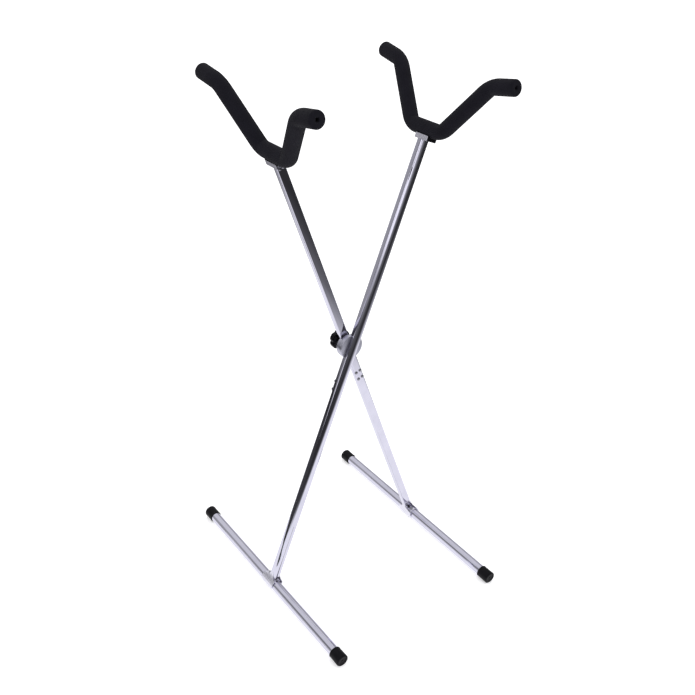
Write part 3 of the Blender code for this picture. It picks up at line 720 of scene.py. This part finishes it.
def make_leg_rivets():
    """The rivets in each leg's inner face, below the hub and at the top. They look at +Y."""
    rows = (-HUB_RIVETS_AT + HUB_RIVET_ALONG, -HUB_RIVETS_AT - HUB_RIVET_ALONG)
    hub_places = [(x, z) for z in rows for x in (-HUB_RIVET_ACROSS, HUB_RIVET_ACROSS)]
    tab_places = [(x, LEG_TOP - TAB_RIVET_DOWN) for x in (-TAB_RIVET_ACROSS, TAB_RIVET_ACROSS)]
    for letter in "ab":
        face = -(PLATE_BACK - PLATE_SHEET) if letter == "a" else -LEG_FACE
        kinds = (
            ("hub_rivet_{letter}_{number}", hub_places, face),
            ("yoke_{letter}_rivet_{number}", tab_places, -LEG_FACE),
        )
        for kind, places, at in kinds:
            for number, (x, z) in enumerate(places, 1):
                node = kind.format(letter=letter, number=number)
                place = LEGS[letter] @ Matrix.Translation((x, at, z)) @ ALONG_Y
                shape = rivet(RIVET_HEIGHT, RIVET_RADIUS)
                make_piece(f"{node}_head", shape, place, "zinc_fasteners", f"leg_{letter}", [node])


def make_foot_rivets():
    for letter in "ab":
        place = LEGS[letter] @ Matrix.Translation((0, FOOT_RIVET_OUT - LEG_MIDDLE, -LOWER))
        shape = rivet(FOOT_RIVET_HEIGHT, FOOT_RIVET_RADIUS, SADDLE_OUTER - 0.0003)
        make_piece(
            f"foot_{letter}_rivet_head", shape, place,
            "zinc_fasteners", f"leg_{letter}", [f"foot_{letter}_rivet"],
        )


# ---------------------------------------------------------------- hub

def rotated(along, across, turn):
    return (
        along * math.cos(turn) - across * math.sin(turn),
        along * math.sin(turn) + across * math.cos(turn),
    )


def swing_cutter(low, high, turn):
    """The space that half of leg B sweeps through the drum's rim, about the drum's own Z."""
    half_width = LEG_WIDTH / 2 + SWING_CLEARANCE
    at_rest = math.pi / 2 + 2 * LEAN + turn
    closed = at_rest - FOLD_RANGE
    return prism([
        rotated(SWING_OVERLAP, half_width, at_rest), rotated(SWING_OVERLAP, -half_width, closed),
        rotated(SWING_REACH, -half_width, closed), rotated(SWING_REACH, half_width, at_rest),
    ], low, high)


def make_drum():
    """Leg A's pressed hub drum with its channel for the leg, and its tongue down the leg."""
    inner = DRUM_RADIUS - PLATE_SHEET
    front = PLATE_BACK - PLATE_SHEET
    edge = 0.0008
    profile = [(0, front), (inner, front), (inner, DRUM_END), (DRUM_RADIUS - 0.0002, DRUM_END)]
    profile += [(DRUM_RADIUS, DRUM_END + 0.0002), (DRUM_RADIUS, -0.0002), (DRUM_RADIUS - 0.0003, 0.0)]
    profile.append((DRUM_RADIUS, 0.0002))
    profile += arc((DRUM_RADIUS - edge, DRUM_FRONT - edge), edge, 0, math.pi / 2, 8)
    profile.append((0, DRUM_FRONT))
    place = LEGS["a"] @ ALONG_MINUS_Y
    shape = lathe(profile, 128)
    drum = make_piece("hub_pressed_drum", shape, place, "zinc_pressing", "leg_a", ["hub_drum"])
    side = LEG_WIDTH / 2 + GAP
    cut(
        drum,
        prism([(-side, -FAR), (side, -FAR), (side, FAR), (-side, FAR)], PLATE_BACK, FAR),
        swing_cutter(DRUM_END - FAR, front, 0),
        swing_cutter(DRUM_END - FAR, front, math.pi),
        rod_between(-FAR, FAR, BOLT_HOLE, 32),
    )
    bevel(drum, DRUM_BEVEL, 2)
    half = TONGUE_WIDTH / 2
    round_end = arc((0, half - TONGUE_END), half, 0, -math.pi, 24)
    outline = [(half, TONGUE_TOP), *round_end, (-half, TONGUE_TOP)]
    tongue = prism(outline, front + TONGUE_INSET, PLATE_BACK - TONGUE_INSET)
    make_piece("hub_drum_tongue", tongue, place, "zinc_pressing", "leg_a")


def lobed(scale, rise):
    """A ring round the knob's lobes, at the height rise."""
    ring = []
    for i in range(KNOB_STEPS):
        turn = 2 * math.pi * i / KNOB_STEPS
        hollow = (0.5 - 0.5 * math.cos(KNOB_LOBES * (turn - KNOB_TURN))) ** 3
        radius = scale * (KNOB_RADIUS - KNOB_FLUTE * hollow)
        ring.append(Vector((radius * math.cos(turn), radius * math.sin(turn), rise)))
    return ring


def make_knob():
    """Six-lobed clamp knob with rounded shoulders, a boss towards the leg and a dished outer face."""
    height = KNOB_BOX[1][1] - KNOB_BOX[0][1]
    rings = [circle(KNOB_HOLE, KNOB_STEPS, rise) for rise in (KNOB_HOLE_DEPTH, 0)]
    boss = ((BOSS_RADIUS - 0.0002, 0), (BOSS_RADIUS, 0.0002), (BOSS_RADIUS, KNOB_BOSS))
    rings += [circle(radius, KNOB_STEPS, rise) for radius, rise in boss]
    for turn in (0, 0.8, 1.57):
        rings.append(lobed(1 - 0.05 * (1 - math.sin(turn)), KNOB_BOSS + 0.001 * (1 - math.cos(turn))))
    for i in range(9):
        turn = math.pi / 2 * i / 8
        drop = KNOB_SHOULDER * (1 - math.sin(turn))
        rings.append(lobed(1 - 0.13 * (1 - math.cos(turn)), height - drop))
    rings += [lobed(0.80, height), lobed(0.74, height - 0.0005), lobed(0.5, height - 0.0007)]
    place = Matrix.Translation((PIVOT.x, KNOB_BOX[0][1], PIVOT.z)) @ ALONG_Y
    knob = loft(bmesh.new(), rings)
    make_piece(
        "lobed_clamp_knob", knob, place, "knob_plastic", "knob", ["clamp_knob"], math.radians(40),
    )


# ---------------------------------------------------------------- yokes

def filleted(corners, radii, steps):
    """A polyline in two dimensions with each inner corner replaced by an arc."""
    points = [corners[0]]
    for before, corner, after, radius in zip(corners, corners[1:], corners[2:], radii):
        back = (before - corner).normalized()
        ahead = (after - corner).normalized()
        half_angle = back.angle(ahead) / 2
        centre = corner + (back + ahead).normalized() * radius / math.sin(half_angle)
        reach = radius / math.tan(half_angle)
        first = corner + back * reach - centre
        last = corner + ahead * reach - centre
        sweep = first.angle_signed(last)
        for i in range(steps + 1):
            points.append(centre + Matrix.Rotation(-sweep * i / steps, 2) @ first)
    points.append(corners[-1])
    return points


def yoke_line(radii):
    """The yoke's centre line from tip to tip, as points of Y and height above its bottom."""
    bend = Vector((YOKE_REACH, YOKE_HEIGHT))
    tip = bend + Vector((math.cos(TIP_SLOPE), math.sin(TIP_SLOPE))) * TIP_LENGTH
    half = [tip, bend, Vector((YOKE_FLAT, 0))]
    corners = half + [Vector((-p.x, p.y)) for p in reversed(half)]
    return filleted(corners, radii, BEND_STEPS)


def foam_ring(centre, radius, direction, steps=48):
    """The points of a ring across the foam, each with how far it faces upwards, from -1 to 1."""
    out = Vector((0, -direction.y, direction.x))
    if out.z < 0:
        out = -out
    points = []
    for k in range(steps):
        turn = 2 * math.pi * k / steps
        offset = Vector((1, 0, 0)) * math.cos(turn) + out * math.sin(turn)
        points.append((Vector((0, centre.x, centre.y)) + offset * radius, math.sin(turn)))
    return points


def directions(line):
    found = []
    for i in range(1, len(line) - 1):
        ahead, behind = line[i + 1] - line[i], line[i] - line[i - 1]
        found.append((ahead.normalized() + behind.normalized()).normalized())
    return found


def sleeve_rings():
    """Rings for a foam sleeve: tight inside its bends, wide outside them, a blind hole in each end."""
    wide, tight = yoke_line(OUTER_BENDS), yoke_line(INNER_BENDS)
    turns = [math.pi / 2 * i / 6 for i in range(7)]
    end = [(FOAM_HOLE_DEPTH, FOAM_HOLE * 0.9), (0.0022, FOAM_HOLE), (0.0009, FOAM_HOLE + 0.0003)]
    end += [(0.0002, FOAM_HOLE + 0.0010), (0.0, FOAM_HOLE + 0.0020)]
    for t in turns:
        end.append((FOAM_ROUNDING * (1 - math.cos(t)), FOAM_RADIUS - FOAM_ROUNDING * (1 - math.sin(t))))
    first, last = (wide[1] - wide[0]).normalized(), (wide[-1] - wide[-2]).normalized()
    rings = []
    for back, radius in end:
        rings.append([p for p, _ in foam_ring(wide[0] + first * back, radius, first)])
    middles = zip(wide[1:-1], directions(wide), tight[1:-1], directions(tight))
    per_bend = BEND_STEPS + 1
    for at, (centre, direction, tight_centre, tight_direction) in enumerate(middles):
        top_bend = at < per_bend or at >= 3 * per_bend
        ring = []
        outer = foam_ring(centre, FOAM_RADIUS, direction)
        inner = foam_ring(tight_centre, FOAM_RADIUS, tight_direction)
        for (point, up), (tight_point, _) in zip(outer, inner):
            inside = 0.5 - 0.5 * up if top_bend else 0.5 + 0.5 * up
            ring.append(point.lerp(tight_point, inside * inside * (3 - 2 * inside)))
        rings.append(ring)
    for back, radius in reversed(end):
        rings.append([p for p, _ in foam_ring(wide[-1] - last * back, radius, last)])
    return rings


def make_foam(letter):
    seat = Matrix.Translation((0, YOKE_MIDDLE, LEG_TOP + YOKE_RISE)) @ Matrix.Rotation(-YOKE_TILT, 4, "Y")
    foam = make_piece(
        f"yoke_{letter}_foam_sleeve", loft(bmesh.new(), sleeve_rings()), LEGS[letter] @ seat,
        "foam", f"leg_{letter}", [f"yoke_{letter}_foam"], math.radians(60),
    )


def channel(low_y, high_y, inner, sheet):
    """A channel over the leg's top, open upwards and downwards, along Y."""
    web_low = LEG_TOP + GAP
    web_high = web_low + BRACKET_SHEET
    low, lip, half = LEG_TOP - BRACKET_DROP, LEG_TOP + BRACKET_LIP, inner + sheet
    right = [(inner, web_low), (inner, low), (half, low), (half, lip), (inner, lip), (inner, web_high)]
    outline = right + [(-x, z) for x, z in reversed(right)]
    return loft(bmesh.new(), [[Vector((x, y, z)) for x, z in outline] for y in (low_y, high_y)])


def make_bracket(letter):
    """The chromed bracket over the leg's top, its post into the foam, and the pad on its outer end."""
    post_low, post_high = LEG_TOP + POST_START, LEG_TOP + YOKE_RISE - POST_SHORT
    body = channel(BRACKET_Y[0], BRACKET_Y[1], BRACKET_INNER, BRACKET_SHEET)
    post = rod_between(post_low, post_high, POST_RADIUS, 32, place=(0, YOKE_MIDDLE, 0))
    bracket = make_piece(
        f"yoke_{letter}_pressed_bracket", join(body, post), LEGS[letter],
        "chrome_pressing", f"leg_{letter}", [f"yoke_{letter}_bracket"],
    )
    bevel(bracket, BRACKET_BEVEL)

    end, half = BRACKET_Y[0], BRACKET_INNER + BRACKET_SHEET - PAD_INSET
    low, high = LEG_TOP - BRACKET_DROP + 0.0002, LEG_TOP + BRACKET_LIP + 0.0006
    corners = [(-half, low), (half, low), (half, high), (-half, high)]
    rings = [[Vector((x, y, z)) for x, z in corners] for y in (end - PAD_SHEET, end + 0.0002)]
    block = loft(bmesh.new(), rings)
    pad = make_piece(f"yoke_{letter}_end_pad", block, LEGS[letter], "rubber", f"leg_{letter}")
    bevel(pad, PAD_BEVEL)


# ---------------------------------------------------------------- the whole stand

def finish_cad_nodes():
    """Gives every CAD node its procedural finish, also those that a finer piece stands for."""
    slots = {row["node"]: row["material_slot"] for row in frame["record"]["subparts"]}
    for name, item in frame["nodes"].items():
        item.data.materials.clear()
        item.data.materials.append(MATERIALS[slots[name]])


make_camera()
make_studio()
finish_cad_nodes()
for letter in "ab":
    make_leg(letter)
    make_saddle(letter)
    make_foot(letter)
    for side, word in zip((-1, 1), ("front", "back") if letter == "a" else ("back", "front")):
        make_cap(letter, side, word)
    make_foam(letter)
    make_bracket(letter)
make_leg_rivets()
make_foot_rivets()
make_drum()
make_knob()
